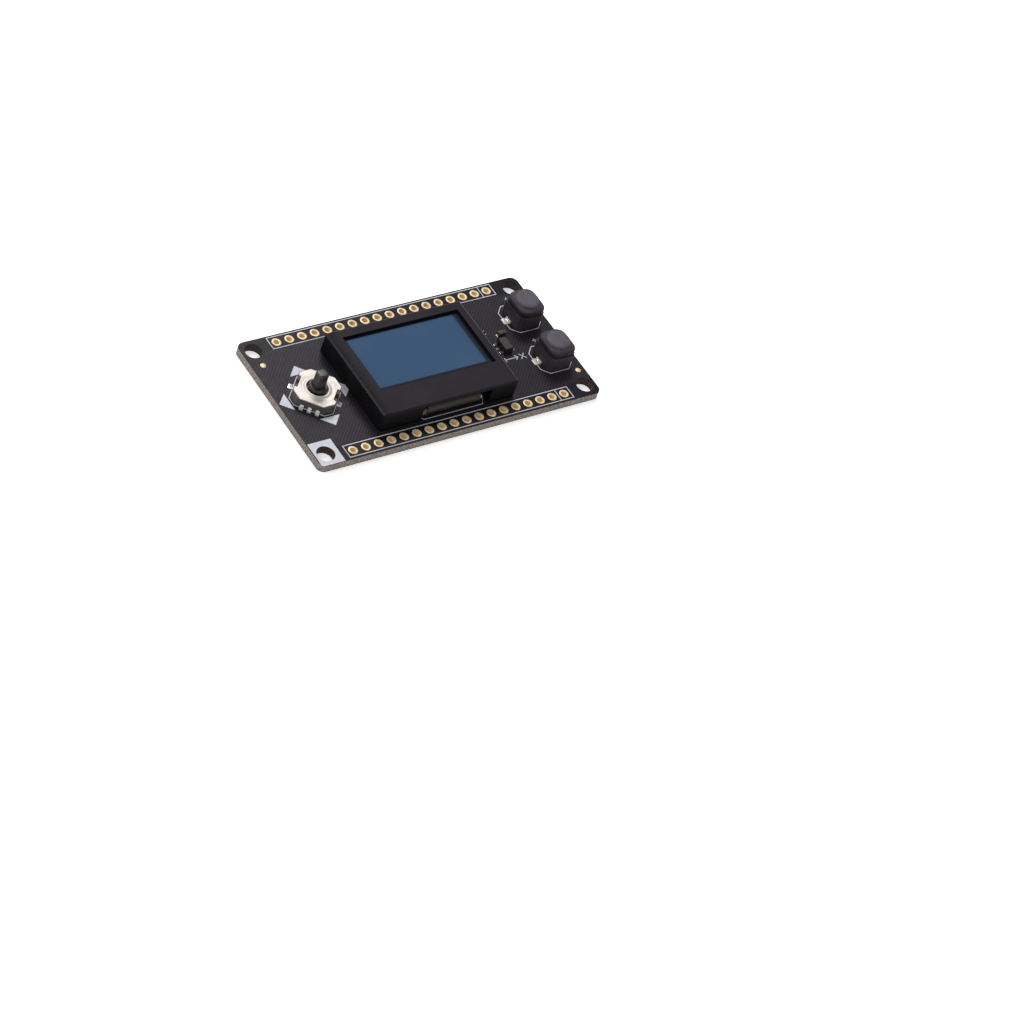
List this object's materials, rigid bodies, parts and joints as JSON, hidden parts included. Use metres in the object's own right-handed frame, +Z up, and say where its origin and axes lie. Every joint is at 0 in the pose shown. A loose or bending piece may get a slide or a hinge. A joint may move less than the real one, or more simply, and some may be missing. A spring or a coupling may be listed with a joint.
{
  "type": "small display and key module",
  "caption": "Small board with a framed graphic display, two push buttons, a five-way stick and two rows of header holes.",
  "frame": {"origin": "middle of the board's underside", "axes": "+X along the board towards the two buttons, +Y across the board towards the far row of header holes, +Z up out of the display side"},
  "size_m": [0.0574, 0.0288, 0.007],
  "materials": {
    "board": "matt black solder mask over glass-fibre laminate",
    "pad_gold": "gold-plated copper",
    "frame_plastic": "fine moulded texture",
    "polariser": "smooth dark blue film",
    "panel_glass": "polished",
    "chip_body": "matt moulding compound",
    "flex_film": "satin polyimide film",
    "foam": "closed-cell foam",
    "ceramic": "fired ceramic",
    "tinned_metal": "matt tin plating and solder",
    "switch_housing": "moulded, satin",
    "soft_cap": "soft matt moulding",
    "spring_steel": "rolled strip",
    "cover_metal": "pressed sheet, satin plating",
    "switch_inside": "moulded",
    "stick_plastic": "moulded, satin"
  },
  "bodies": {
    "root": {"circuit_board": "board", "header_pads_far": "pad_gold", "header_pads_near": "pad_gold", "alignment_marks": "pad_gold", "display_frame": "frame_plastic", "display_polariser": "polariser", "display_front_glass": "panel_glass", "display_rear_glass": "panel_glass", "display_driver_chip": "chip_body", "display_flex_tail": "flex_film", "display_foam_strips": "foam", "capacitor_bodies": "ceramic", "capacitor_ends": "tinned_metal", "resistor_bodies": "chip_body", "resistor_ends": "tinned_metal", "support_chip": "chip_body", "support_chip_leads": "tinned_metal", "far_button_base": "switch_housing", "far_button_terminals": "tinned_metal", "far_button_dome": "spring_steel", "far_button_housing": "switch_housing", "near_button_base": "switch_housing", "near_button_terminals": "tinned_metal", "near_button_dome": "spring_steel", "near_button_housing": "switch_housing", "stick_switch_base": "switch_housing", "stick_switch_terminals": "tinned_metal", "stick_switch_domes": "spring_steel", "stick_switch_cover": "cover_metal"},
    "far_button": {"far_button_cap": "soft_cap"},
    "near_button": {"near_button_cap": "soft_cap"},
    "stick_carriage": {"stick_carrier": "switch_inside"},
    "tilt_ring": {"stick_tilt_ring": "switch_inside"},
    "stick_lever": {"stick": "stick_plastic"}
  },
  "joints": [
    {"name": "far_button_press", "type": "slide", "parent": "root", "child": "far_button", "axis": [0, 0, -1], "range_m": [0, 0.00025], "stiffness_N_per_m": 6000},
    {"name": "near_button_press", "type": "slide", "parent": "root", "child": "near_button", "axis": [0, 0, -1], "range_m": [0, 0.00025], "stiffness_N_per_m": 6000},
    {"name": "stick_press", "type": "slide", "parent": "root", "child": "stick_carriage", "axis": [0, 0, -1], "range_m": [0, 0.0002], "stiffness_N_per_m": 8000},
    {"name": "stick_tilt_across", "type": "hinge", "parent": "stick_carriage", "child": "tilt_ring", "pos_m": [-0.0215, 0, 0.00268], "axis": [1, 0, 0], "range_deg": [-6, 6], "stiffness_Nm_per_rad": 0.025},
    {"name": "stick_tilt_along", "type": "hinge", "parent": "tilt_ring", "child": "stick_lever", "pos_m": [-0.0215, 0, 0.00268], "axis": [0, 1, 0], "range_deg": [-6, 6], "stiffness_Nm_per_rad": 0.025}
  ]
}
